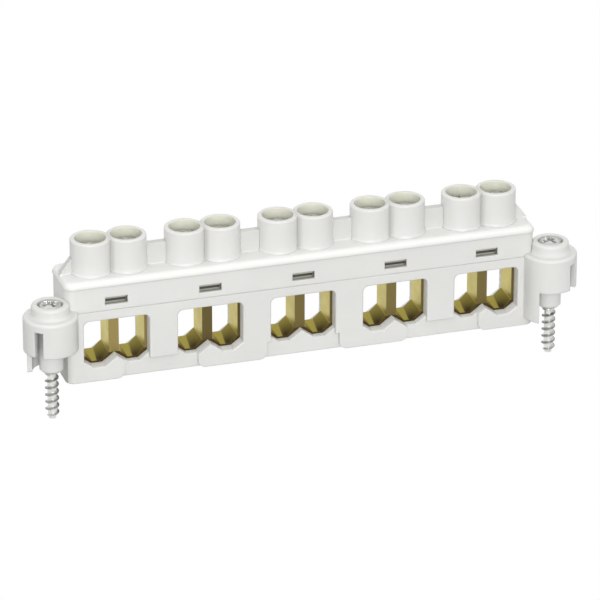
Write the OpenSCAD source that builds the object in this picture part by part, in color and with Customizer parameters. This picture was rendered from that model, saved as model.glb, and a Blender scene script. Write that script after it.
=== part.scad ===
// Screw terminal strip with a moulded base and cover, double-tunnel brass terminals,
// clamp screws inside towers and a captive fixing screw in an ear at each end.
// Millimetres. X runs along the strip, the wires enter along Y with the front at -Y, +Z is up.
// The origin is the middle of the base's underside.

/* [Poles] */
// Number of poles in the row
pole_count = 5; // [2:1:7]
// Distance from one pole to the next
pole_pitch = 25; // [23:0.5:32]
// Distance between the two clamp screws of a pole
screw_pitch = 9.5; // [9:0.1:10.2]

/* [Housing] */
// Depth from the front face to the back face
body_depth = 14.8; // [13:0.2:20]
// Distance from the outermost pole to the end face
end_margin = 13.3; // [12.4:0.1:16]
// Height of the base, up to the seam with the cover
base_h = 19.6; // [16:0.2:26]
// Height of the cover from the seam to the shelf
cover_h = 8.4; // [6.5:0.1:12]
// Radius of the vertical corners
corner_r = 2.3; // [2:0.1:3]
// Radius of the rolled edge around the shelf
shelf_edge_r = 1.7; // [0.8:0.1:1.9]
// How far the rolled edge stands out past the walls of the cover
lip_out = 0.25; // [0.05:0.05:0.4]
// Height of the shadow groove at the seam
seam_h = 0.1; // [0.1:0.05:0.6]
// Depth of the shadow groove at the seam
seam_d = 0.1; // [0.1:0.05:0.6]
// Wall left between a terminal pocket and the hollow beside it
rib_wall = 1.4; // [0.8:0.1:1.6]
// Thickness over the hollows and in front of them
core_wall = 2.2; // [1.2:0.1:3]

/* [Windows] */
// How far the sides of a window cover the terminal
window_inset = 0.6; // [0.1:0.05:1]
// How far the top of a window hangs below the tunnel roof
window_drop = 0.3; // [0.1:0.1:2]
// How far the sill of a window stands above the terminal's underside
window_sill = 0.45; // [0.2:0.05:0.7]
// How much lower the sill of a back window lies
back_drop = 1.3; // [0.6:0.1:2]
// Radius of the upper window corners
window_r = 1.5; // [0.3:0.1:3]
// Width of the bevel around a window
window_bevel = 0.25; // [0.1:0.05:0.5]

/* [Towers] */
// Outside diameter of a screw tower
tower_d = 10.5; // [10.3:0.1:12]
// Diameter of the well inside a tower
well_d = 8.2; // [7.4:0.1:9]
// Height of a tower above the shelf
tower_h = 9.1; // [5:0.1:14]
// Rounding of a tower's rim
rim_r = 0.42; // [0.12:0.05:0.42]
// How far a tower's foot flares out
foot_out = 0.3; // [0.1:0.05:0.5]
// Height of the flared foot
foot_h = 0.7; // [0.2:0.1:1.5]
// Thickness of the web between the tower pairs
web_t = 2; // [1:0.1:4]
// Height of the web above the shelf
web_h = 5.8; // [2:0.1:8]
// Height of the gusset at the outermost towers
gusset_h = 4.3; // [1:0.1:6]
// Height of the gusset's low end, and its distance from the end face
gusset_edge = 0.2; // [0.1:0.1:0.5]

/* [Latches] */
// Width of a latch slot in the cover
slot_w = 6; // [3:0.1:6.4]
// Height of a latch slot
slot_h = 2.1; // [1.4:0.1:3]
// Distance from the seam up to a latch slot
slot_rise = 1.5; // [1:0.1:2]
// Thickness of the cover wall in front of a latch
latch_wall = 1.2; // [0.8:0.1:1.4]
// Depth of the pocket behind that wall
latch_pocket = 1.7; // [1.5:0.05:1.8]
// Thickness of a latch tongue
tongue_t = 0.9; // [0.6:0.1:1.1]
// Height of the nose on a latch tongue
nose_h = 0.7; // [0.5:0.1:1]
// How far the nose stays behind the outer face
nose_depth = 0.9; // [0.2:0.1:1]
// Room beside and above a latch tongue inside its pocket
latch_room = 0.5; // [0.3:0.1:0.8]

/* [Feet] */
// Width of the relief between two foot pads
relief_w = 19.6; // [8:0.1:20]
// Height of the relief
relief_h = 4.6; // [2:0.1:5]
// Depth of the relief behind the pads
relief_d = 1.2; // [0.4:0.1:1.6]
// Distance from an outermost pole to the middle of the outer relief
relief_shift = 11.8; // [11:0.1:13]
// Rounding of the pad corners
pad_r = 2; // [0.5:0.1:2.5]

/* [Terminals] */
// Width of a wire tunnel
tunnel_w = 6.8; // [6.5:0.1:7.6]
// Width of the flat along the middle of a tunnel floor
floor_flat = 2.4; // [1:0.1:4]
// Height of the tunnel floor's lowest line
floor_z = 4.2; // [3.8:0.05:5.5]
// Rise of the tunnel floor from its flat to the tunnel walls
floor_rise = 2; // [1.6:0.1:3]
// Rise of the terminal's underside over the same width
under_rise = 1.6; // [0.4:0.1:2]
// Thickness of brass under a tunnel
floor_t = 0.8; // [0.75:0.05:1.2]
// Thickness of the outer tunnel walls
side_t = 1.2; // [0.8:0.1:1.6]
// Thickness of brass above a tunnel, where the screws are tapped
roof_t = 4; // [3:0.1:6]
// Length of a terminal along its tunnels
term_depth = 8; // [7.4:0.1:8.6]
// How far a terminal stands above the seam into the cover
term_rise = 1.6; // [0.6:0.1:2.4]

/* [Clamp screws] */
// Diameter of a clamp screw
screw_d = 5.9; // [4.5:0.1:6.1]
// Height of a clamp screw's head
screw_head_h = 2.8; // [2:0.1:4]
// Distance from the tower rim down to the screw head
screw_sunk = 2.5; // [1:0.1:6]
// Distance from the tunnel roof up to the screw tip
tip_gap = 0.2; // [0.1:0.1:1]
// Rounding of a clamp screw's head
screw_edge_r = 0.4; // [0.1:0.1:0.8]
// Bevel at a clamp screw's tip
screw_bevel = 0.6; // [0.2:0.1:1]
// Width of the driver slot
driver_w = 1.1; // [0.6:0.1:1.6]

/* [Ears] */
// Distance from the end face out to the axis of the fixing hole
ear_out = 4.2; // [3.9:0.1:6]
// Outside diameter of the ear boss
boss_d = 14.2; // [13.4:0.1:16]
// Wall of the hollow boss
boss_wall = 1.3; // [0.8:0.1:1.6]
// Height of the boss top above the seam
boss_rise = 0.9; // [0.2:0.1:2]
// Thickness of the plate on top of the boss
boss_plate = 2.2; // [1.2:0.1:3]
// Height of the boss from its lower rim to its top
boss_h = 9.4; // [6:0.1:12]
// Rounding of the boss top
boss_edge_r = 0.8; // [0.2:0.1:1]
// Wall of the collar around the screw head
collar_wall = 1.5; // [0.9:0.1:1.7]
// Height of the collar above the boss
collar_h = 3; // [1.5:0.1:4]
// Radius of the fillet between the collar and the boss
collar_fillet = 0.9; // [0.3:0.1:1]
// Rounding of the collar's rim
collar_rim_r = 0.7; // [0.2:0.1:0.8]
// Wall of the sleeve around the fixing screw
sleeve_wall = 1.15; // [0.8:0.05:1.4]
// Height of the sleeve's lower end
sleeve_z = 4.6; // [2.8:0.1:8]
// Bevel at the sleeve's lower end
sleeve_bevel = 0.9; // [0.2:0.1:0.9]
// Room behind the sleeve inside the hollow boss
hollow_gap = 0.45; // [0.2:0.05:0.8]
// Height of the lower end of the neck under the right boss
neck_z = 2.4; // [0.5:0.1:6]
// How far the neck stays inside the end face
neck_inset = 0.4; // [0.1:0.1:0.8]
// How far the guard under the left boss stays inside the boss
guard_inset = 0.9; // [0.3:0.1:1.2]
// Wall of the guard
guard_wall = 1.3; // [0.8:0.1:1.5]
// Distance from the fixing axis back to the guard's front edge
guard_back = 1; // [0:0.1:3]
// Width of the opening in the boss wall
notch_w = 2.4; // [1:0.1:4]
// Angle of that opening from the front, towards the outside
notch_angle = 40; // [20:1:60]

/* [Fixing screws] */
// Outside diameter of the fixing screw's thread
fix_d = 3.6; // [3:0.1:4]
// Diameter of the neck above the thread
fix_neck_d = 2.6; // [2:0.1:2.8]
// Diameter of the fixing screw's head
fix_head_d = 6.4; // [5.6:0.1:7.2]
// Height of the fixing screw's head
fix_head_h = 2.6; // [1.6:0.1:3]
// Rounding of the fixing screw's head
fix_head_r = 1.2; // [0.4:0.1:1.4]
// Length of each bar of the cross recess
cross_l = 3.9; // [3:0.1:4.4]
// Width of each bar of the cross recess
cross_w = 1; // [0.6:0.1:1.4]
// Thickness of plastic under the screw head, above the boss top
fix_seat = 0.6; // [0.2:0.1:1.2]
// Length of the fixing screw under its head
fix_len = 30; // [26:0.5:40]
// Length of the threaded part, with its tip
fix_thread = 13; // [8:0.5:16]
// Length of the tapered tip
fix_tip = 2; // [1:0.1:4]

/* [Clearances] */
// Gap around a terminal in its pocket
pocket_gap = 0.15; // [0.05:0.05:0.3]
// Gap between an ear and the cover
cover_gap = 0.15; // [0.05:0.05:0.4]
// Gap around a latch tongue
latch_gap = 0.1; // [0.05:0.05:0.15]
// Gap around a clamp screw in its tapped hole
thread_gap = 0.05; // [0.02:0.01:0.1]
// Gap around a clamp screw's head in its well
head_gap = 0.3; // [0.2:0.1:0.6]
// Gap around a fixing screw in its sleeve
fix_gap = 0.15; // [0.1:0.05:0.3]
// Gap around a fixing screw's head in the collar
fix_head_gap = 0.2; // [0.1:0.05:0.5]

/* [Hidden] */
$fn = 64;
over = 1; // overrun of a cut past the face it opens
lap = 0.1; // overlap where two shapes are joined
sides = [-1, 1];
letters = ["a", "b"];
last = pole_count - 1;

function pole_x(i) = (i - last / 2) * pole_pitch;
function screw_x(i, side) = pole_x(i) + side * screw_pitch / 2;

end_x = pole_x(last) + end_margin;
front_y = body_depth / 2;
shelf_z = base_h + cover_h;
rim_z = shelf_z + tower_h;

term_half = screw_pitch / 2 + tunnel_w / 2 + side_t;
term_top = base_h + term_rise;
roof_z = term_top - roof_t;
under_angle = atan(under_rise / (tunnel_w - floor_flat) * 2);
under_half = floor_flat / 2 + floor_t * tan(under_angle / 2);
pocket_half = term_half + pocket_gap;
pocket_depth = term_depth + 2 * pocket_gap;
window_half = term_half - window_inset;
window_top = roof_z - window_drop;
window_mid = (window_top + floor_z) / 2;
core_w = pole_pitch - 2 * pocket_half - 2 * rib_wall;

screw_head_d = well_d - 2 * head_gap;
screw_top = rim_z - screw_sunk;
screw_tip = roof_z + tip_gap;
slot_turns = [-35, 0, 5, 0, -10, 0, 0, -45, 90, 0]; // how the driver slots were left standing

slot_z = base_h + slot_rise;
pocket_y = front_y - latch_wall; // outer side of a latch pocket
tongue_top = slot_z + slot_h - latch_gap;

ear_x = end_x + ear_out;
boss_top = base_h + boss_rise;
boss_z = boss_top - boss_h;
collar_d = fix_head_d + 2 * fix_head_gap + 2 * collar_wall;
sleeve_bore = fix_d + 2 * fix_gap;
sleeve_d = sleeve_bore + 2 * sleeve_wall;
hollow_back = sleeve_d / 2 + hollow_gap;
guard_d = boss_d - 2 * guard_inset;
seat_z = boss_top + fix_seat;
fix_end = seat_z - fix_len;

// General shapes

// The body's outline, grown by grow on every side, as a slab standing on Z = 0.
module body_slab(grow, height) {
    length = 2 * (end_x + grow);
    depth = body_depth + 2 * grow;
    r = corner_r + grow;
    linear_extrude(height) {
        square([length - 2 * r, depth], center = true);
        square([length, depth - 2 * r], center = true);
        for (x = sides, y = sides)
            translate([x * (length / 2 - r), y * (depth / 2 - r)])
                circle(r);
    }
}

// Half the section of a plate: half wide, height tall, its upper outer edge rolled over.
module rolled_half(half, height, r) {
    square([half, height - r]);
    square([half - r, height]);
    translate([half - r, height - r])
        intersection() {
            circle(r);
            square(r);
        }
}

// The same slab with its upper edge rolled over all the way round.
module rolled_slab(grow, height, edge_r) {
    length = 2 * (end_x + grow);
    depth = body_depth + 2 * grow;
    r = corner_r + grow;
    for (turn = [0, 180]) rotate(turn) {
        rotate([90, 0, 90])
            linear_extrude(length - 2 * r, center = true)
                rolled_half(depth / 2, height, edge_r);
        rotate([90, 0, 0])
            linear_extrude(depth - 2 * r, center = true)
                rolled_half(length / 2, height, edge_r);
        for (y = sides)
            translate([length / 2 - r, y * (depth / 2 - r), 0])
                rotate_extrude()
                    rolled_half(r, height, edge_r);
    }
}

// A disc with its upper edge rounded.
module rolled_disc(d, height, edge_r) {
    rotate_extrude()
        rolled_half(d / 2, height, edge_r);
}

// Lays a section drawn in X and Z along Y, centred on the strip.
module along_y(depth) {
    rotate([90, 0, 0])
        linear_extrude(depth, center = true)
            children();
}

// Height of a terminal's underside at distance u from the middle of a tunnel.
function under_z(u) = floor_z - floor_t + max(0, abs(u) - under_half) * tan(under_angle);

// Section from the W-shaped underside of a terminal, lifted by lift, to a flat top.
module w_section(half, lift, top) {
    v = screw_pitch / 2;
    right = [
        [half, under_z(half - v) + lift],
        [v + under_half, under_z(0) + lift],
        [v - under_half, under_z(0) + lift],
        [0, under_z(v) + lift]
    ];
    left = [for (k = [2:-1:0]) [-right[k][0], right[k][1]]];
    polygon(concat([[-half, top], [half, top]], right, left));
}

// Base

// Opening in the front and back walls that shows both tunnels of a pole.
module window_section() {
    w_section(window_half, window_sill, window_top - window_r);
    translate([-window_half + window_r, window_top - 2 * window_r])
        square([2 * (window_half - window_r), 2 * window_r]);
    for (side = sides)
        translate([side * (window_half - window_r), window_top - window_r])
            circle(window_r);
}

// Window through both walls, bevelled where it meets the front and back faces. The back sill is lower.
module window_cut() {
    inner = 1 - window_bevel / window_half;
    outer = 1 + (window_bevel + over) / window_half;
    along_y(body_depth + 2 * over)
        window_section();
    translate([0, front_y, 0])
        along_y(2 * (front_y - term_depth / 2))
            w_section(window_half, window_sill - back_drop, window_mid);
    for (turn = [0, 180])
        rotate(turn)
            translate([0, 2 * window_bevel - front_y, window_mid])
                rotate([90, 0, 0])
                    linear_extrude(2 * window_bevel + over, scale = outer / inner)
                        scale(inner)
                            translate([0, -window_mid])
                                window_section($fn = 24);
}

// Section of the relief about x along the lower front edge. Below a window it reaches the sill, and
// between two windows it ends at relief_h. The pads beside it keep round corners.
module relief_section(x) {
    top = under_z(screw_pitch / 2) + window_sill;
    pad_x = relief_w / 2 + pad_r;
    intersection() {
        translate([x, 0])
            difference() {
                translate([-pad_x, -over])
                    square([2 * pad_x, top + over]);
                for (side = sides) {
                    translate([side * pad_x, pad_r])
                        circle(pad_r);
                    translate([side * pad_x, top - pad_r])
                        circle(pad_r);
                    translate([side * pad_x - pad_r, pad_r])
                        square([2 * pad_r, top - 2 * pad_r]);
                }
            }
        union() {
            translate([x - pad_x - over, -2 * over])
                square([2 * pad_x + 2 * over, relief_h + 2 * over]);
            for (i = [0:last])
                translate([pole_x(i) - window_half, -2 * over])
                    square([2 * window_half, top + 3 * over]);
        }
    }
}

// Half the section of the boss with its collar and the fillet between them.
module boss_half() {
    rolled_half(boss_d / 2, boss_h, boss_edge_r);
    rolled_half(collar_d / 2, boss_h + collar_h, collar_rim_r);
    translate([collar_d / 2 - lap, boss_h - lap])
        difference() {
            square(collar_fillet + lap);
            translate([collar_fillet + lap, collar_fillet + lap])
                circle(collar_fillet);
        }
}

// Sleeve around a fixing screw, with a bevelled lower end.
module sleeve() {
    cylinder(d1 = sleeve_d - 2 * sleeve_bevel, d2 = sleeve_d, h = sleeve_bevel);
    translate([0, 0, sleeve_bevel])
        cylinder(d = sleeve_d, h = boss_top - sleeve_z - sleeve_bevel - over);
}

// Guard behind the left ear's sleeve: a quarter of a ring from the hollow's roof to the sleeve's end.
module guard() {
    height = boss_top - boss_plate + lap - sleeve_z;
    translate([0, 0, sleeve_z])
        intersection() {
            difference() {
                cylinder(d = guard_d, h = height);
                translate([0, 0, -over])
                    cylinder(d = guard_d - 2 * guard_wall, h = height + 2 * over);
            }
            translate([-boss_d, guard_back, -over])
                cube([boss_d, boss_d, height + 2 * over]);
        }
}

// Solid of one ear about its fixing axis; side is 1 at the right end, -1 at the left.
// The right boss runs down the body as a neck, and the left one carries the guard.
module ear(side) {
    translate([0, 0, boss_z])
        rotate_extrude()
            boss_half();
    if (side > 0)
        intersection() {
            translate([0, 0, neck_z])
                cylinder(d = boss_d, h = boss_z - neck_z + over);
            translate([-boss_d, -boss_d, 0])
                cube([boss_d - ear_out - neck_inset, 2 * boss_d, boss_top]);
        }
    else
        guard();
}

// Everything taken out of an ear: the hollow around the sleeve, the notch, the bore, the head recess.
module ear_cuts(side) {
    difference() {
        intersection() {
            translate([0, 0, boss_z - over])
                cylinder(d = boss_d - 2 * boss_wall, h = boss_h - boss_plate + over);
            translate([side > 0 ? -ear_out : -boss_d, hollow_back - boss_d, 0])
                cube([boss_d + ear_out, boss_d, boss_top]);
        }
        cylinder(d = sleeve_d, h = boss_top);
        if (side < 0)
            guard();
    }
    rotate(side * notch_angle)
        translate([-notch_w / 2, -boss_d / 2 - over, boss_z - 2 * over])
            cube([notch_w, boss_wall + 2 * over, boss_h - boss_plate + 2 * over - lap]);
    translate([0, 0, -over])
        cylinder(d = sleeve_bore, h = boss_top + collar_h);
    translate([0, 0, seat_z])
        cylinder(d = fix_head_d + 2 * fix_head_gap, h = collar_h + over);
}

// Latch tongue standing on the rim of the base; its nose snaps into a slot of the cover.
module latch_tongue() {
    inner = pocket_y - latch_pocket + latch_gap;
    outer = inner + tongue_t;
    nose = front_y - nose_depth;
    rotate([90, 0, 90])
        linear_extrude(slot_w - 2 * latch_gap, center = true)
            polygon([
                [inner, base_h - over],
                [inner, tongue_top],
                [nose - nose_h / 2, tongue_top],
                [nose, tongue_top - nose_h / 2],
                [nose, tongue_top - nose_h],
                [outer, tongue_top - nose_h],
                [outer, base_h - over]
            ]);
}

module base() {
    color("whitesmoke")
    difference() {
        union() {
            body_slab(0, base_h - seam_h);
            body_slab(-seam_d, base_h);
            for (side = sides)
                difference() {
                    translate([side * ear_x, -front_y, 0])
                        ear(side);
                    translate([0, 0, base_h])
                        body_slab(cover_gap, cover_h);
                }
            for (side = sides)
                translate([side * ear_x, -front_y, sleeve_z])
                    sleeve();
            for (i = [0:last], turn = [0, 180])
                translate([pole_x(i), 0, 0])
                    rotate(turn)
                        latch_tongue();
        }
        for (i = [0:last])
            translate([pole_x(i), 0, 0]) {
                along_y(pocket_depth)
                    w_section(pocket_half, 0, base_h + over);
                window_cut();
            }
        for (i = [1:last])
            translate([(pole_x(i) + pole_x(i - 1)) / 2 - core_w / 2, core_wall - front_y, -over])
                cube([core_w, body_depth - 2 * core_wall, base_h - core_wall + over]);
        for (x = [-1, 0, 1])
            translate([0, -front_y, 0])
                along_y(2 * relief_d)
                    relief_section(x * (pole_x(last) - relief_shift));
        for (side = sides)
            translate([side * ear_x, -front_y, 0])
                ear_cuts(side);
    }
}

// Cover

// A tower before its well is bored, standing on Z = 0 on a flared foot.
module tower_blank() {
    rotate_extrude() {
        rolled_half(tower_d / 2, tower_h, rim_r);
        polygon([
            [0, 0],
            [tower_d / 2 + foot_out, 0],
            [tower_d / 2, foot_h],
            [0, foot_h]
        ]);
    }
}

// Web between two tower pairs, or the sloping gusset at an end when i is the last pole.
module web(i) {
    rotate([90, 0, 0])
        linear_extrude(web_t, center = true)
            if (i < last)
                translate([screw_x(i, 1), shelf_z - shelf_edge_r])
                    square([pole_pitch - screw_pitch, web_h + shelf_edge_r]);
            else
                polygon([
                    [screw_x(i, 1), shelf_z - shelf_edge_r],
                    [end_x - gusset_edge, shelf_z - shelf_edge_r],
                    [end_x - gusset_edge, shelf_z + gusset_edge],
                    [screw_x(i, 1) + tower_d / 2, shelf_z + gusset_h],
                    [screw_x(i, 1), shelf_z + gusset_h]
                ]);
}

// Slot in the cover wall and the pocket behind it for a latch tongue.
module latch_slot() {
    translate([-slot_w / 2, pocket_y - over, slot_z])
        cube([slot_w, latch_wall + 2 * over, slot_h]);
    translate([-slot_w / 2 - latch_room, pocket_y - latch_pocket, base_h - over])
        cube([slot_w + 2 * latch_room, latch_pocket, slot_rise + slot_h + latch_room + over]);
}

module cover() {
    lip_h = shelf_edge_r + lap;
    color("white")
    difference() {
        union() {
            translate([0, 0, base_h])
                body_slab(0, cover_h - lip_h);
            translate([0, 0, shelf_z - lip_h])
                rolled_slab(lip_out, lip_h, shelf_edge_r);
            for (i = [0:last])
                web(i);
            mirror([1, 0, 0])
                web(last);
        }
        for (i = [0:last], side = sides) {
            translate([screw_x(i, side), 0, base_h])
                cylinder(d = well_d, h = cover_h + over);
            translate([screw_x(i, side), 0, shelf_z])
                tower_blank();
        }
        for (i = [0:last])
            translate([pole_x(i) - pocket_half, -pocket_depth / 2, base_h - over])
                cube([2 * pocket_half, pocket_depth, term_rise + over]);
        for (i = [0:last], turn = [0, 180])
            translate([pole_x(i), 0, 0])
                rotate(turn)
                    latch_slot();
    }
}

// The two screw towers of a pole, standing on the shelf around the wells.
module tower_pair(i) {
    color("white")
    difference() {
        for (side = sides)
            translate([screw_x(i, side), 0, shelf_z])
                tower_blank();
        for (side = sides)
            translate([screw_x(i, side), 0, shelf_z - over])
                cylinder(d = well_d, h = tower_h + 2 * over);
    }
}

// Metal parts

module tunnel_section() {
    half = tunnel_w / 2;
    polygon([
        [-half, roof_z],
        [-half, floor_z + floor_rise],
        [-floor_flat / 2, floor_z],
        [floor_flat / 2, floor_z],
        [half, floor_z + floor_rise],
        [half, roof_z]
    ]);
}

module terminal(i) {
    color("goldenrod")
    translate([pole_x(i), 0, 0])
        difference() {
            along_y(term_depth)
                w_section(term_half, 0, term_top);
            for (side = sides)
                translate([side * screw_pitch / 2, 0, 0]) {
                    along_y(term_depth + 2 * over)
                        tunnel_section();
                    translate([0, 0, roof_z - over])
                        cylinder(d = screw_d + 2 * thread_gap, h = roof_t + 2 * over);
                }
        }
}

module clamp_screw(i, k) {
    color("silver")
    translate([screw_x(i, sides[k]), 0, 0])
        rotate(slot_turns[(2 * i + k) % len(slot_turns)])
        difference() {
            union() {
                translate([0, 0, screw_top - screw_head_h])
                    rolled_disc(screw_head_d, screw_head_h, screw_edge_r);
                translate([0, 0, screw_tip + screw_bevel])
                    cylinder(d = screw_d, h = screw_top - screw_tip - screw_bevel - screw_head_h / 2);
                translate([0, 0, screw_tip])
                    cylinder(d1 = screw_d - 2 * screw_bevel, d2 = screw_d, h = screw_bevel);
            }
            translate([-screw_head_d, -driver_w / 2, screw_top - screw_head_h / 2])
                cube([2 * screw_head_d, driver_w, screw_head_h]);
        }
}

// Captive screw: pan head, thin neck inside the ear, threaded part kept as a plain cylinder, tapered tip.
module fixing_screw(side) {
    thread_z = fix_end + fix_thread;
    color("silver")
    translate([side * ear_x, -front_y, 0])
        difference() {
            union() {
                translate([0, 0, seat_z])
                    rolled_disc(fix_head_d, fix_head_h, fix_head_r);
                translate([0, 0, thread_z - over])
                    cylinder(d = fix_neck_d, h = seat_z - thread_z + 2 * over);
                translate([0, 0, fix_end + fix_tip])
                    cylinder(d = fix_d, h = fix_thread - fix_tip);
                translate([0, 0, fix_end])
                    cylinder(d1 = fix_d / 3, d2 = fix_d, h = fix_tip);
            }
            for (turn = [0, 90])
                rotate(turn)
                    translate([-cross_l / 2, -cross_w / 2, seat_z + fix_head_h / 2])
                        cube([cross_l, cross_w, fix_head_h]);
        }
}

base();
cover();
for (i = [0:last])
    tower_pair(i);
for (i = [0:last])
    terminal(i);
for (i = [0:last], k = [0:1])
    clamp_screw(i, k);
fixing_screw(-1);  // fixing_screw_left
fixing_screw(1);  // fixing_screw_right
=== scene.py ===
import bmesh
import bpy
import math
import numpy as np
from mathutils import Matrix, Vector


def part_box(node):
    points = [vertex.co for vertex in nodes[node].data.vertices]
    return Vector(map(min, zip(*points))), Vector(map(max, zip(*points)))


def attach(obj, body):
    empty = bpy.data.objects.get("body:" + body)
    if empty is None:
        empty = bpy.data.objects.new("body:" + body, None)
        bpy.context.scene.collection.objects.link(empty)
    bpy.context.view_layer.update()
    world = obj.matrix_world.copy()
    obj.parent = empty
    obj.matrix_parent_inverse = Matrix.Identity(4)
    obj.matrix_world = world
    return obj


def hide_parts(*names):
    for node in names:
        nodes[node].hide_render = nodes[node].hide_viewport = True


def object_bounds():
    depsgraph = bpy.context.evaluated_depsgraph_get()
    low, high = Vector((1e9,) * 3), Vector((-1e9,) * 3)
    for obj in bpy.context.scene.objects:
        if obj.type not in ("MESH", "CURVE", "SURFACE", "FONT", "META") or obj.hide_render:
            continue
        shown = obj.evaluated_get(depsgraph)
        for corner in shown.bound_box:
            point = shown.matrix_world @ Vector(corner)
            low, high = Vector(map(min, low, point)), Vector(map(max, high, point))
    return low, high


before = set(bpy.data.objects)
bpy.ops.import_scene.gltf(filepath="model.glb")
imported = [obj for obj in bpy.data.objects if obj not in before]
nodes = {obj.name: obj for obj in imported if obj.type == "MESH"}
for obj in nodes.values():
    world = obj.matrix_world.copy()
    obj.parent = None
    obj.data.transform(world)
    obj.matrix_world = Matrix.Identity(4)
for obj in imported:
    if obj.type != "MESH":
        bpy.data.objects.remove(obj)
cadBox = [list(map(float, corner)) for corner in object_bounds()]
mm = 0.001
print("frame loaded:", len(nodes), "nodes")

viewSettings = {
    "target": (1.31, 0.0, 11.98),     # mm, falls on the middle of the picture
    "azimuth": -17.276,               # degrees, to the left of the front
    "elevation": 24.54,
    "distance": 1290.976,             # mm
    "lens": 297.9, "film": 36.0,      # mm, for a square picture
    "clipEnd": 20.0,                  # m
}


def placeCamera(s):
    a, e = math.radians(s["azimuth"]), math.radians(s["elevation"])
    away = Vector((math.sin(a) * math.cos(e), -math.cos(a) * math.cos(e), math.sin(e)))
    data = bpy.data.cameras.new("photoCamera")
    data.lens = s["lens"]
    data.sensor_width = s["film"]
    data.clip_end = s["clipEnd"]
    camera = bpy.data.objects.new("photoCamera", data)
    bpy.context.scene.collection.objects.link(camera)
    camera.location = (Vector(s["target"]) + away * s["distance"]) * mm
    camera.rotation_euler = away.to_track_quat("Z", "Y").to_euler()
    bpy.context.scene.camera = camera


placeCamera(viewSettings)
print("camera placed")

lightSettings = {
    "ambient": 0.548,                 # soft light from all round
    "slope": (0.0, 0.10, 0.45),       # how much it grows towards +X, +Y and +Z
    "panels": {                       # places and sizes in m; inMetal: the metal mirrors the panel
        "keyPanel": {"place": (-0.25, -1.15, 0.38), "size": 0.6, "watts": 10.2, "inMetal": True},
        "backPanel": {"place": (0.15, 1.18, 0.28), "size": 0.6, "watts": 4.5, "inMetal": False},
    },
    "floorGlow": 1.0,                 # the floor is as white as the photograph's
    "floorHalf": 3.0,                 # m
}


def addPanel(name, s):
    data = bpy.data.lights.new(name, "AREA")
    data.energy = s["watts"]
    data.size = s["size"]
    data.shape = "DISK"
    panel = bpy.data.objects.new(name, data)
    bpy.context.scene.collection.objects.link(panel)
    panel.location = s["place"]
    panel.rotation_euler = Vector(s["place"]).to_track_quat("Z", "Y").to_euler()
    panel.visible_glossy = s["inMetal"]


def lightStudio(s):
    # strength = ambient + slope . direction
    world = bpy.data.worlds.new("whiteStudio")
    bpy.context.scene.world = world
    world.use_nodes = True
    tree = world.node_tree
    direction = tree.nodes.new("ShaderNodeTexCoord")
    along = tree.nodes.new("ShaderNodeVectorMath")
    along.operation = "DOT_PRODUCT"
    along.inputs[1].default_value = s["slope"]
    total = tree.nodes.new("ShaderNodeMath")
    total.inputs[1].default_value = s["ambient"]
    background = tree.nodes["Background"]
    background.inputs["Color"].default_value = (1.0, 1.0, 1.0, 1.0)
    tree.links.new(direction.outputs["Generated"], along.inputs[0])
    tree.links.new(along.outputs["Value"], total.inputs[0])
    tree.links.new(total.outputs["Value"], background.inputs["Strength"])
    for name, panel in s["panels"].items():
        addPanel(name, panel)


def layFloor(s, height):
    mesh = bpy.data.meshes.new("paleFloor")
    half = s["floorHalf"]
    corners = [(-half, -half, height), (half, -half, height), (half, half, height), (-half, half, height)]
    mesh.from_pydata(corners, [], [(0, 1, 2, 3)])
    floor = bpy.data.objects.new("paleFloor", mesh)
    bpy.context.scene.collection.objects.link(floor)
    floor.visible_diffuse = False      # it shows in the metal, but the light comes from the studio alone
    floor.visible_shadow = False
    material = bpy.data.materials.new("paleFloor")
    material.use_nodes = True
    shader = material.node_tree.nodes["Principled BSDF"]
    shader.inputs["Base Color"].default_value = (0.0, 0.0, 0.0, 1.0)
    shader.inputs["Specular IOR Level"].default_value = 0.0
    shader.inputs["Emission Color"].default_value = (1.0, 1.0, 1.0, 1.0)
    shader.inputs["Emission Strength"].default_value = s["floorGlow"]
    mesh.materials.append(material)


lightStudio(lightSettings)
layFloor(lightSettings, cadBox[0][2])
bpy.context.scene.view_settings.view_transform = "Standard"
print("light and floor set")


def middleOf(name):
    # middle of a node's box, mm
    low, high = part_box(name)
    return (low + high) / 2 / mm


poleSettings = {
    "count": sum(name.startswith("terminal_") for name in nodes),
    "pitch": (middleOf("terminal_2") - middleOf("terminal_1")).x,               # mm, from pole to pole
    "screw": (middleOf("clamp_screw_1b") - middleOf("clamp_screw_1a")).x / 2,   # from a pole to its screws
    "reach": 62.0,                             # from the middle of the strip to past the last window
    "shelf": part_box("towers_1")[0].z / mm,     # height of the cover's shelf
}


def newFinish(name):
    material = bpy.data.materials.new(name)
    material.use_nodes = True
    tree = material.node_tree
    return material, tree, tree.nodes["Principled BSDF"]


def addNode(tree, kind, **values):
    node = tree.nodes.new(kind)
    for key, value in values.items():
        if key in node.inputs:
            node.inputs[key].default_value = value
        else:
            setattr(node, key, value)
    return node


def mathNode(tree, operation, value, *others):
    node = addNode(tree, "ShaderNodeMath", operation=operation)
    tree.links.new(value, node.inputs[0])
    for i, other in enumerate(others, 1):
        if isinstance(other, float):
            node.inputs[i].default_value = other
        else:
            tree.links.new(other, node.inputs[i])
    return node.outputs["Value"]


def above(tree, value, edge):
    return mathNode(tree, "GREATER_THAN", value, edge * mm)


def below(tree, value, edge):
    return mathNode(tree, "LESS_THAN", value, edge * mm)


def allOf(tree, first, *others):
    for other in others:
        first = mathNode(tree, "MULTIPLY", first, other)
    return first


def span(tree, value, low, high, a=0.0, b=1.0):
    # a below low mm, b above high mm, a straight line between
    node = addNode(tree, "ShaderNodeMapRange")
    node.inputs["From Min"].default_value = low * mm
    node.inputs["From Max"].default_value = high * mm
    node.inputs["To Min"].default_value = a
    node.inputs["To Max"].default_value = b
    tree.links.new(value, node.inputs["Value"])
    return node.outputs["Result"]


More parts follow.
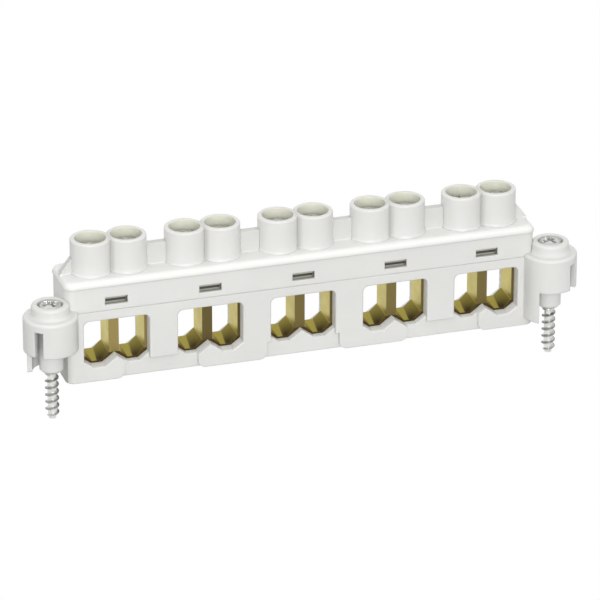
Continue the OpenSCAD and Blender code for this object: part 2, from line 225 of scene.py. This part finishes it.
def blendColor(tree, amount, first, second):
    node = addNode(tree, "ShaderNodeMix", data_type="RGBA")
    tree.links.new(amount, node.inputs[0])
    tree.links.new(first, node.inputs[6])
    if isinstance(second, tuple):
        node.inputs[7].default_value = (*second, 1.0)
    else:
        tree.links.new(second, node.inputs[7])
    return node.outputs[2]


def objectAxes(tree):
    place = addNode(tree, "ShaderNodeTexCoord")
    axes = addNode(tree, "ShaderNodeSeparateXYZ")
    tree.links.new(place.outputs["Object"], axes.inputs["Vector"])
    return axes.outputs["X"], axes.outputs["Y"], axes.outputs["Z"]


def noiseBlend(tree, scale, first, last, detail=3.0, spread=(0.3, 0.7)):
    # noise on object coordinates, its value spread from the first colour to the last
    place = addNode(tree, "ShaderNodeTexCoord")
    noise = addNode(tree, "ShaderNodeTexNoise", Scale=scale, Detail=detail, Roughness=0.55)
    ramp = addNode(tree, "ShaderNodeValToRGB")
    tree.links.new(place.outputs["Object"], noise.inputs["Vector"])
    tree.links.new(noise.outputs["Fac"], ramp.inputs["Fac"])
    for element, position, color in zip(ramp.color_ramp.elements, spread, (first, last)):
        element.position, element.color = position, (*color, 1.0)
    return ramp.outputs["Color"], noise.outputs["Fac"]


def patchyRoughness(tree, shader, scale, low, high, more=None):
    # roughness between low and high by noise, and more of it where asked
    rough, noise = noiseBlend(tree, scale, (low, low, low), (high, high, high))
    if more is not None:
        rough = mathNode(tree, "ADD", more, rough)
    tree.links.new(rough, shader.inputs["Roughness"])
    return noise


def inPole(tree, x):
    # place along the strip, from the middle of the nearest pole
    half = poleSettings["pitch"] / 2 * mm
    return mathNode(tree, "WRAP", x, half, -half)


def fromPole(tree, x):
    # distance from the middle of the nearest pole; a metre more past the last window
    past = above(tree, mathNode(tree, "ABSOLUTE", x), poleSettings["reach"])
    return mathNode(tree, "ADD", mathNode(tree, "ABSOLUTE", inPole(tree, x)), past)


slotSettings = {
    "hollowPaintedShade": (0.07, 0.07, 0.055),                         # painted shade below the latch nose
    "nosePaintedShade": (0.42, 0.42, 0.36),                            # lighter painted shade around it
    "half": 3.7, "back": 4.3, "face": 6.7, "faceSoft": 0.15,   # mm
    "floor": 20.9, "gap": 21.3, "nose": 22.3, "noseSoft": 0.1, "roof": 23.5,
}


# paints shade into the latch slots: grey over their inside, near black below the nose
def slotPaintedShade(tree, s, tone):
    x, y, z = objectAxes(tree)
    depth = mathNode(tree, "ABSOLUTE", y)
    inside = allOf(
        tree,
        below(tree, fromPole(tree, x), s["half"]),
        above(tree, z, s["floor"]),
        below(tree, z, s["roof"]),
        above(tree, depth, s["back"]),
        span(tree, depth, s["face"] - s["faceSoft"], s["face"], 1.0, 0.0),
    )
    underNose = allOf(
        tree,
        inside,
        above(tree, z, s["gap"]),
        span(tree, z, s["nose"] - s["noseSoft"], s["nose"] + s["noseSoft"], 1.0, 0.0),
    )
    tone = blendColor(tree, inside, tone, s["nosePaintedShade"])
    return blendColor(tree, underNose, tone, s["hollowPaintedShade"])


# painted light: a lighter tone on the window reveals that lifts their shade
sillSettings = {
    "tone": (0.83, 0.83, 0.81),
    "half": 9.4, "floor": 2.6, "top": 17.5, "back": 4.1, "front": 7.15,   # mm
    "relief": 6.2, "slab": 0.08,
}


def sillPaintedLight(tree, s, tone):
    # painted light on the reveals between the brass and the bevel, less a thin slab that holds the reliefs'
    # faces
    x, y, z = objectAxes(tree)
    depth = mathNode(tree, "ABSOLUTE", y)
    fromRelief = mathNode(tree, "ABSOLUTE", mathNode(tree, "SUBTRACT", depth, s["relief"] * mm))
    amount = allOf(
        tree,
        below(tree, fromPole(tree, x), s["half"]),
        above(tree, z, s["floor"]),
        below(tree, z, s["top"]),
        above(tree, depth, s["back"]),
        below(tree, depth, s["front"]),
        above(tree, fromRelief, s["slab"]),
    )
    return blendColor(tree, amount, tone, s["tone"])


nookSettings = {
    "tone": (0.42, 0.42, 0.395),      # the end wall in the shade of the left ear
    "wall": 62.9, "thick": 0.6,       # mm
    "low": 8.0, "high": 12.0, "front": -3.0, "back": 4.0,
}


def nookTone(tree, s, tone):
    x, y, z = objectAxes(tree)
    amount = allOf(
        tree,
        below(tree, x, -s["wall"]),
        above(tree, x, -s["wall"] - s["thick"]),
        span(tree, z, s["low"], s["high"], 1.0, 0.0),
        span(tree, y, s["front"], s["back"], 1.0, 0.0),
    )
    return blendColor(tree, amount, tone, s["tone"])


shelfSettings = {
    "lipPaintedHighlight": (0.80, 0.80, 0.78),             # painted highlight on the rolled edge
    "webPaintedShade": (0.61, 0.61, 0.595),            # painted shade on what stands above it
    "lip": (-1.6, -0.7), "web": (0.05, 0.4),   # mm from the shelf, where each comes in
}


# paints a highlight on the shelf's rolled edge and shade on the web and gussets above it
def shelfPaintedLight(tree, s, tone):
    x, y, z = objectAxes(tree)
    shelf = poleSettings["shelf"]
    onWeb = span(tree, z, shelf + s["web"][0], shelf + s["web"][1])
    onLip = allOf(
        tree,
        span(tree, z, shelf + s["lip"][0], shelf + s["lip"][1]),
        span(tree, z, shelf + s["web"][0], shelf + s["web"][1], 1.0, 0.0),
    )
    tone = blendColor(tree, onLip, tone, s["lipPaintedHighlight"])
    return blendColor(tree, onWeb, tone, s["webPaintedShade"])


creaseSettings = {"tone": (0.59, 0.59, 0.57), "core": 0.1, "half": 1.0}   # painted shade where two towers meet, mm


def creasePaintedShade(tree, s, tone):
    x, y, z = objectAxes(tree)
    amount = span(tree, fromPole(tree, x), s["core"], s["half"], 1.0, 0.0)
    return blendColor(tree, amount, tone, s["tone"])


wellSettings = {"tone": (0.69, 0.69, 0.60), "radius": 4.15}   # painted yellow tint of light bounced inside the walls round the clamp screws, mm


def wellPaintedLight(tree, s, tone):
    x, y, z = objectAxes(tree)
    across = mathNode(tree, "SUBTRACT", fromPole(tree, x), poleSettings["screw"] * mm)
    square = mathNode(tree, "ADD", mathNode(tree, "POWER", across, 2.0), mathNode(tree, "POWER", y, 2.0))
    amount = mathNode(tree, "LESS_THAN", square, (s["radius"] * mm) ** 2)
    return blendColor(tree, amount, tone, s["tone"])


plasticSettings = {
    "dark": (0.675, 0.675, 0.655), "light": (0.705, 0.705, 0.685), "cloudScale": 45.0,
    "roughness": (0.40, 0.48), "glossScale": 160.0, "specular": 0.42,
    "edge": 0.30,                                # mm, softness of the moulded edges
    "foot": (0.7, 1.7),                          # mm above the shelf, where the towers' softness comes in
    "grain": 0.012, "grainScale": 2600.0, "grainHeight": 0.2,     # the fine skin, its height in mm
    "glow": 0.5, "glowTint": (1.0, 0.96, 0.84),  # share of the light that goes into the plastic
    "depth": 0.7,                                # mm, how far it travels there
}


def mouldedPlastic(name, s, tint, zones, standing=False):
    # zones are (function, settings) pairs, each painting light or shade onto one part of the moulding
    material, tree, shader = newFinish(name)
    dark, light = (tuple(v * tint for v in s[key]) for key in ("dark", "light"))
    tone, _ = noiseBlend(tree, s["cloudScale"], dark, light)
    for zoneTone, zoneSettings in zones:
        tone = zoneTone(tree, zoneSettings, tone)
    tree.links.new(tone, shader.inputs["Base Color"])
    patchyRoughness(tree, shader, s["glossScale"], *s["roughness"])
    place = addNode(tree, "ShaderNodeTexCoord")
    skin = addNode(tree, "ShaderNodeTexNoise", Scale=s["grainScale"], Detail=2.0, Roughness=0.6)
    edge = addNode(tree, "ShaderNodeBevel", samples=6, Radius=s["edge"] * mm)
    if standing:   # the feet run out into the shelf without an edge
        x, y, z = objectAxes(tree)
        low, high = (poleSettings["shelf"] + v for v in s["foot"])
        tree.links.new(span(tree, z, low, high, 0.0, s["edge"] * mm), edge.inputs["Radius"])
    bump = addNode(tree, "ShaderNodeBump", Strength=s["grain"], Distance=s["grainHeight"] * mm)
    tree.links.new(place.outputs["Object"], skin.inputs["Vector"])
    tree.links.new(skin.outputs["Fac"], bump.inputs["Height"])
    tree.links.new(edge.outputs["Normal"], bump.inputs["Normal"])
    tree.links.new(bump.outputs["Normal"], shader.inputs["Normal"])
    shader.inputs["Specular IOR Level"].default_value = s["specular"]
    shader.inputs["Subsurface Weight"].default_value = s["glow"]
    shader.inputs["Subsurface Radius"].default_value = s["glowTint"]
    shader.inputs["Subsurface Scale"].default_value = s["depth"] * mm
    return material


brassSettings = {
    "drawn": ((0.455, 0.40, 0.135), (0.60, 0.53, 0.19)), "drawnSpread": (0.3, 0.72), "cloudScale": 120.0,
    "sawn": (0.175, 0.137, 0.052),             # the cut ends
    "ends": (1.75, 0.75, 1.0, 1.12, 1.05),     # how the cut ends differ from pole to pole
    "rim": (0.10, 0.07, 0.025),                # painted shade on their lower edge
    "floor": (0.395, 0.325, 0.058),            # the floors of the tunnels
    "floorShade": (0.032, 0.018, 0.004),          # painted shade on the far side of each floor, darkest low down at the front
    "glint": (0.97, 0.92, 0.75),               # colour of glancing reflections
    "roughness": (0.26, 0.36), "sawnRough": 0.2, "glossScale": 300.0,
    "lines": (900.0, 22.0, 900.0),             # scale of the drawing marks, which run along Y
    "lineStrength": 0.06, "lineHeight": 0.1,   # mm
    "edge": 0.12,                              # mm, softness of the edges
    "end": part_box("terminal_1")[1].y / mm,     # mm, from the middle to a cut end
    "endSoft": (0.06, 0.02),
    "foot": 4.2, "shoulder": 6.2,              # mm, height of the floors and of their slopes' top
    "shoulderSoft": 0.1,
    "darkFrom": 0.65,                          # mm, from a tunnel's middle to the painted shade
    "darkSoft": (0.1, 0.15),
    "darkSkew": 0.14,                          # its change for each mm back
    "darkTop": 0.62,                           # share of the painted shade at the slopes' top
    "darkFront": -2.5, "darkBack": 3.5,        # mm, where it begins to fade and where it ends
    "darkLeast": 0.35,                         # share of it at the back
}


def poleColors(tree, x, s):
    # one colour of the cut ends for each pole
    reach = poleSettings["count"] * poleSettings["pitch"] / 2
    ramp = addNode(tree, "ShaderNodeValToRGB")
    ramp.color_ramp.interpolation = "CONSTANT"
    elements = ramp.color_ramp.elements
    elements.remove(elements[1])
    for k, share in enumerate(s["ends"]):
        stop = elements[0] if k == 0 else elements.new(k / len(s["ends"]))
        stop.color = (*(share * v for v in s["sawn"]), 1.0)
    tree.links.new(span(tree, x, -reach, reach), ramp.inputs["Fac"])
    return ramp.outputs["Color"]


def drawnBrass(name, s):
    # zones: cut ends where |y| nears the end, floors below the slopes' top, and painted shade on one side of
    # a floor where u - skew * y > from, u being the place across a tunnel
    material, tree, shader = newFinish(name)
    x, y, z = objectAxes(tree)
    across = inPole(tree, x)
    u = mathNode(tree, "MULTIPLY_ADD", mathNode(tree, "SIGN", across), -poleSettings["screw"] * mm, across)
    onEnd = span(tree, mathNode(tree, "ABSOLUTE", y), *(s["end"] - v for v in s["endSoft"]))
    onFloor = span(tree, z, s["shoulder"] - s["shoulderSoft"], s["shoulder"], 1.0, 0.0)
    skewed = mathNode(tree, "MULTIPLY_ADD", y, -s["darkSkew"], u)
    # dark: where the painted shade lies on a floor
    dark = allOf(
        tree,
        span(tree, skewed, s["darkFrom"] - s["darkSoft"][0], s["darkFrom"] + s["darkSoft"][1]),
        onFloor,
        span(tree, z, s["foot"], s["shoulder"], 1.0, s["darkTop"]),
        span(tree, y, s["darkFront"], s["darkBack"], 1.0, s["darkLeast"]),
    )
    tone, _ = noiseBlend(tree, s["cloudScale"], *s["drawn"], detail=5.0, spread=s["drawnSpread"])
    tone = blendColor(tree, onFloor, tone, s["floor"])
    tone = blendColor(tree, dark, tone, s["floorShade"])
    ends = blendColor(tree, onFloor, poleColors(tree, x, s), s["rim"])
    tree.links.new(blendColor(tree, onEnd, tone, ends), shader.inputs["Base Color"])
    sawnRough = mathNode(tree, "MULTIPLY", onEnd, s["sawnRough"])
    patchyRoughness(tree, shader, s["glossScale"], *s["roughness"], sawnRough)
    place = addNode(tree, "ShaderNodeTexCoord")
    stretch = addNode(tree, "ShaderNodeMapping", Scale=s["lines"])
    lines = addNode(tree, "ShaderNodeTexNoise", Scale=1.0, Detail=2.0)
    bump = addNode(tree, "ShaderNodeBump", Strength=s["lineStrength"], Distance=s["lineHeight"] * mm)
    edge = addNode(tree, "ShaderNodeBevel", samples=6, Radius=s["edge"] * mm)
    tree.links.new(place.outputs["Object"], stretch.inputs["Vector"])
    tree.links.new(stretch.outputs["Vector"], lines.inputs["Vector"])
    tree.links.new(lines.outputs["Fac"], bump.inputs["Height"])
    tree.links.new(edge.outputs["Normal"], bump.inputs["Normal"])
    tree.links.new(bump.outputs["Normal"], shader.inputs["Normal"])
    shader.inputs["Metallic"].default_value = 1.0
    shader.inputs["Specular Tint"].default_value = (*s["glint"], 1.0)
    return material


ridgeSettings = {
    "tone": (0.36, 0.36, 0.345),                     # painted shade on the ridges of the fixing screws' thread
    "radius": 1.40, "soft": 0.25, "threadTop": 4.6,  # mm
}


# paints shade on the thread's outer part below its top
def threadPaintedShade(tree, s, tone):
    x, y, z = objectAxes(tree)
    axis = middleOf("fixing_screw_right")
    across = mathNode(tree, "SUBTRACT", mathNode(tree, "ABSOLUTE", x), axis.x * mm)
    along = mathNode(tree, "SUBTRACT", y, axis.y * mm)
    square = mathNode(tree, "ADD", mathNode(tree, "POWER", across, 2.0), mathNode(tree, "POWER", along, 2.0))
    amount = allOf(
        tree,
        span(tree, mathNode(tree, "SQRT", square), s["radius"], s["radius"] + s["soft"]),
        below(tree, z, s["threadTop"]),
    )
    return blendColor(tree, amount, tone, s["tone"])


steelSettings = {
    "dark": (0.60, 0.60, 0.58), "light": (0.78, 0.78, 0.76), "cloudScale": 700.0,
    "roughness": (0.22, 0.34), "glossScale": 1400.0,
    "grain": 0.03, "grainHeight": 0.1,               # mm
}


def zincSteel(name, s, tint=1.0, dull=0.0, zones=()):
    material, tree, shader = newFinish(name)
    dark, light = (tuple(v * tint for v in s[key]) for key in ("dark", "light"))
    tone, _ = noiseBlend(tree, s["cloudScale"], dark, light, detail=4.0)
    for zoneTone, zoneSettings in zones:
        tone = zoneTone(tree, zoneSettings, tone)
    tree.links.new(tone, shader.inputs["Base Color"])
    noise = patchyRoughness(tree, shader, s["glossScale"], *(v + dull for v in s["roughness"]))
    bump = addNode(tree, "ShaderNodeBump", Strength=s["grain"], Distance=s["grainHeight"] * mm)
    tree.links.new(noise, bump.inputs["Height"])
    tree.links.new(bump.outputs["Normal"], shader.inputs["Normal"])
    shader.inputs["Metallic"].default_value = 1.0
    return material


baseZones = ((slotPaintedShade, slotSettings), (sillPaintedLight, sillSettings), (nookTone, nookSettings))
coverZones = ((slotPaintedShade, slotSettings), (shelfPaintedLight, shelfSettings), (wellPaintedLight, wellSettings))
towerZones = ((creasePaintedShade, creaseSettings), (wellPaintedLight, wellSettings))
fixingZones = ((threadPaintedShade, ridgeSettings),)

finishes = {
    "base": mouldedPlastic("basePlastic", plasticSettings, 1.0, baseZones),
    "cover": mouldedPlastic("coverPlastic", plasticSettings, 1.01, coverZones),
    "towers": mouldedPlastic("towerPlastic", plasticSettings, 1.01, towerZones, standing=True),
    "terminal": drawnBrass("terminalBrass", brassSettings),
    "clamp": zincSteel("clampSteel", steelSettings, tint=0.85),
    "fixing": zincSteel("fixingSteel", steelSettings, dull=0.06, zones=fixingZones),
}

for name, node in nodes.items():
    node.data.materials.clear()
    node.data.materials.append(finishes[name.split("_")[0]])
print("finishes set")

meshSettings = {
    "weld": 0.001, "sliver": 0.0005,   # mm, points closer than this are merged, and such edges dropped
    "sharp": 40.0,                     # degrees, a sharper edge isn't shaded smooth
}


def gridFaces(rows, columns, closed):
    # quads between neighbouring rows; a closed grid joins its last column to its first
    i = np.arange(rows - 1)[:, None] * columns
    j = np.arange(columns if closed else columns - 1)[None, :]
    k = (j + 1) % columns
    quads = np.stack([i + j, i + columns + j, i + columns + k, i + k], axis=-1)
    return quads.reshape(-1, 4)


def buildPiece(name, sheets, material, s=meshSettings):
    # sheets are (points, closed) pairs, points being a (rows, columns, 3) array in mm
    points, faces, start = [], [], 0
    for sheet, closed in sheets:
        rows, columns = sheet.shape[:2]
        points.append(sheet.reshape(-1, 3) * mm)
        faces.append(gridFaces(rows, columns, closed) + start)
        start += rows * columns
    mesh = bpy.data.meshes.new(name)
    mesh.from_pydata(np.concatenate(points).tolist(), [], np.concatenate(faces).tolist())
    shell = bmesh.new()
    shell.from_mesh(mesh)
    bmesh.ops.remove_doubles(shell, verts=shell.verts, dist=s["weld"] * mm)
    bmesh.ops.dissolve_degenerate(shell, edges=shell.edges, dist=s["sliver"] * mm)
    bmesh.ops.recalc_face_normals(shell, faces=shell.faces)
    shell.to_mesh(mesh)
    shell.free()
    mesh.materials.append(material)
    mesh.shade_smooth()
    mesh.set_sharp_from_angle(angle=math.radians(s["sharp"]))
    piece = bpy.data.objects.new(name, mesh)
    bpy.context.scene.collection.objects.link(piece)
    return piece


def roundAngles(columns):
    return np.linspace(0, 2 * np.pi, columns, endpoint=False)[None, :]


def turned(profile, columns):
    # a line of (radius, height) points carried round the Z axis: (r cos a, r sin a, z)
    radius, height = np.asarray(profile, float).T[:, :, None]
    angle = roundAngles(columns)
    return np.stack([radius * np.cos(angle), radius * np.sin(angle), height + 0 * angle], axis=-1)


def threaded(s, top, bottom):
    # r = core + (outer - core) * ridge; ridge is a blunt triangle of the given width in the
    # turn count z / lead - angle / 2 pi, rising below the top and dying out in the taper
    rows = int((top - bottom) / s["lead"] * s["rowsPerTurn"])
    z = np.linspace(top, bottom, rows)[:, None]
    angle = roundAngles(s["columns"])
    turn = (z / s["lead"] - angle / (2 * np.pi)) % 1.0
    ridge = np.clip((1.0 - np.abs(turn - 0.5) / (s["ridge"] / 2)) * s["crest"], 0, 1)
    tip = np.clip((z - bottom) / s["taper"], 0, 1)
    start = np.clip((top - z) / (s["lead"] * s["runIn"]), 0, 1)
    point = s["point"] + (1 - s["point"]) * tip
    radius = s["core"] * point + (s["outer"] - s["core"]) * ridge * start * tip ** s["runOut"]
    return np.stack([radius * np.cos(angle), radius * np.sin(angle), z + 0 * angle], axis=-1)


def closedBy(ring, height):
    # a flat lid from a ring to its middle
    return np.stack([ring, ring * 0 + np.array([0, 0, height])])


fixingSettings = {
    "seat": 21.1,                     # mm, underside of the head
    "headRadius": 3.2, "headHeight": 2.65, "headPower": 3.6, "headRows": 60,
    "armLength": 4.1, "armWidth": 1.0, "recess": 1.4, "soft": 0.22,
    "turn": 20.0,                     # degrees, of the cross
    "neck": 1.25,
    "tipShort": 0.4,                  # mm, how much blunter than the solid
    "core": 1.16, "outer": 1.8, "lead": 1.95, "ridge": 0.46, "crest": 1.4,
    "taper": 1.7, "point": 0.82, "runIn": 0.6, "runOut": 0.7,
    "columns": 120, "rowsPerTurn": 26,
}


def crossHead(s):
    # dome: height * (1 - (rho / radius)^p)^(1 / p), less a cross of two soft-edged arms
    t = np.linspace(0.0, np.pi / 2, s["headRows"])[:, None]
    rho = s["headRadius"] * np.sin(t) ** (2 / s["headPower"])
    dome = s["headHeight"] * np.cos(t).clip(0) ** (2 / s["headPower"])
    angle = roundAngles(s["columns"])
    x, y = rho * np.cos(angle), rho * np.sin(angle)

    def arm(along, across):
        side = np.clip((s["armWidth"] / 2 - np.abs(across)) / s["soft"] + 0.5, 0, 1)
        end = np.clip((s["armLength"] / 2 - np.abs(along)) / (2 * s["soft"]) + 0.5, 0, 1)
        return side * end

    a = math.radians(s["turn"])
    along, across = x * math.cos(a) + y * math.sin(a), y * math.cos(a) - x * math.sin(a)
    cut = np.maximum(arm(along, across), arm(across, along)) * s["recess"]
    return np.stack([x, y, dome - cut + s["seat"]], axis=-1)


def fixingScrew(word, s):
    axis = middleOf("fixing_screw_" + word)
    threadTop = ridgeSettings["threadTop"]
    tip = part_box("fixing_screw_" + word)[0].z / mm + s["tipShort"]
    profile = [(s["headRadius"], s["seat"]), (s["neck"], s["seat"]), (s["neck"], threadTop)]
    under = turned(profile, s["columns"])
    thread = threaded(s, threadTop, tip)
    step = np.stack([under[-1], thread[0]])
    sheets = (crossHead(s), under, step, thread, closedBy(thread[-1], tip))
    sheets = [(sheet + np.array([axis.x, axis.y, 0]), True) for sheet in sheets]
    piece = buildPiece("fixingScrew" + word.capitalize(), sheets, finishes["fixing"])
    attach(piece, "housing")
    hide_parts("fixing_screw_" + word)


for word in ("left", "right"):
    fixingScrew(word, fixingSettings)
print("fixing screws built")

clampSettings = {
    "headRadius": 3.8, "headHeight": 2.8, "edge": 0.4,   # mm
    "overlap": 0.3,                                      # mm, how far the thread reaches into the head
    "slotWidth": 1.1, "slotDepth": 1.4,
    "faceRows": 22, "slotRows": 5, "faceColumns": 41,
    "core": 2.45, "outer": 2.95, "lead": 1.0, "ridge": 0.9, "crest": 1.15,
    "taper": 0.8, "point": 0.9, "runIn": 0.6, "runOut": 0.7,
    "columns": 64, "rowsPerTurn": 12,
    "turns": (-35, 0, 5, 0, -10, 0, 0, -45, 90, 0),   # degrees, how the driver slots were left standing
}


def turnedBy(sheet, degrees):
    a = math.radians(degrees)
    return sheet @ np.array([[math.cos(a), math.sin(a), 0], [-math.sin(a), math.cos(a), 0], [0, 0, 1]])


def slottedHead(s, height):
    # rows at distance v from the slot's middle, x = u sqrt(R^2 - v^2); the top falls by a quarter
    # circle of radius edge at the rim, and by slotDepth inside the slot
    radius, half, rows = s["headRadius"], s["slotWidth"] / 2, s["faceRows"]
    outerRows = radius - (radius - half) * np.sin(np.linspace(0, np.pi / 2, rows)) ** 2
    v = np.concatenate([-outerRows, np.linspace(-half, half, s["slotRows"]), outerRows[::-1]])
    inSlot = np.concatenate([np.zeros(rows), np.ones(s["slotRows"]), np.zeros(rows)])[:, None]
    u = np.sin(np.linspace(-np.pi / 2, np.pi / 2, s["faceColumns"]))[None, :]
    x = u * np.sqrt(np.clip(radius ** 2 - v ** 2, 0, None))[:, None]
    y = v[:, None] + 0 * u
    past = np.clip(np.hypot(x, y) - (radius - s["edge"]), 0, s["edge"])
    drop = s["edge"] - np.sqrt(s["edge"] ** 2 - past ** 2)
    top = np.stack([x, y, height - np.where(inSlot > 0, s["slotDepth"], drop)], axis=-1)
    floor = np.stack([x, y, 0 * x + height - s["headHeight"]], axis=-1)
    left = np.stack([top[:, 0], floor[:, 0]])
    right = np.stack([top[:, -1], floor[:, -1]])
    return [top, floor, left, right]


def clampScrew(label, degrees, s):
    axis = middleOf("clamp_screw_" + label)
    tip, top = (corner.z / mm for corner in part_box("clamp_screw_" + label))
    neck = top - s["headHeight"] + s["overlap"]
    thread = threaded(s, neck, tip)
    sheets = [(turnedBy(sheet, degrees), False) for sheet in slottedHead(s, top)]
    sheets += [(closedBy(thread[0], neck), True), (thread, True), (closedBy(thread[-1], tip), True)]
    sheets = [(sheet + np.array([axis.x, axis.y, 0]), closed) for sheet, closed in sheets]
    piece = buildPiece("clampScrew" + label, sheets, finishes["clamp"])
    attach(piece, "screw_" + label)
    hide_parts("clamp_screw_" + label)


labels = sorted(name.split("_")[-1] for name in nodes if name.startswith("clamp_screw_"))
for label, degrees in zip(labels, clampSettings["turns"]):
    clampScrew(label, degrees, clampSettings)
print("clamp screws built")
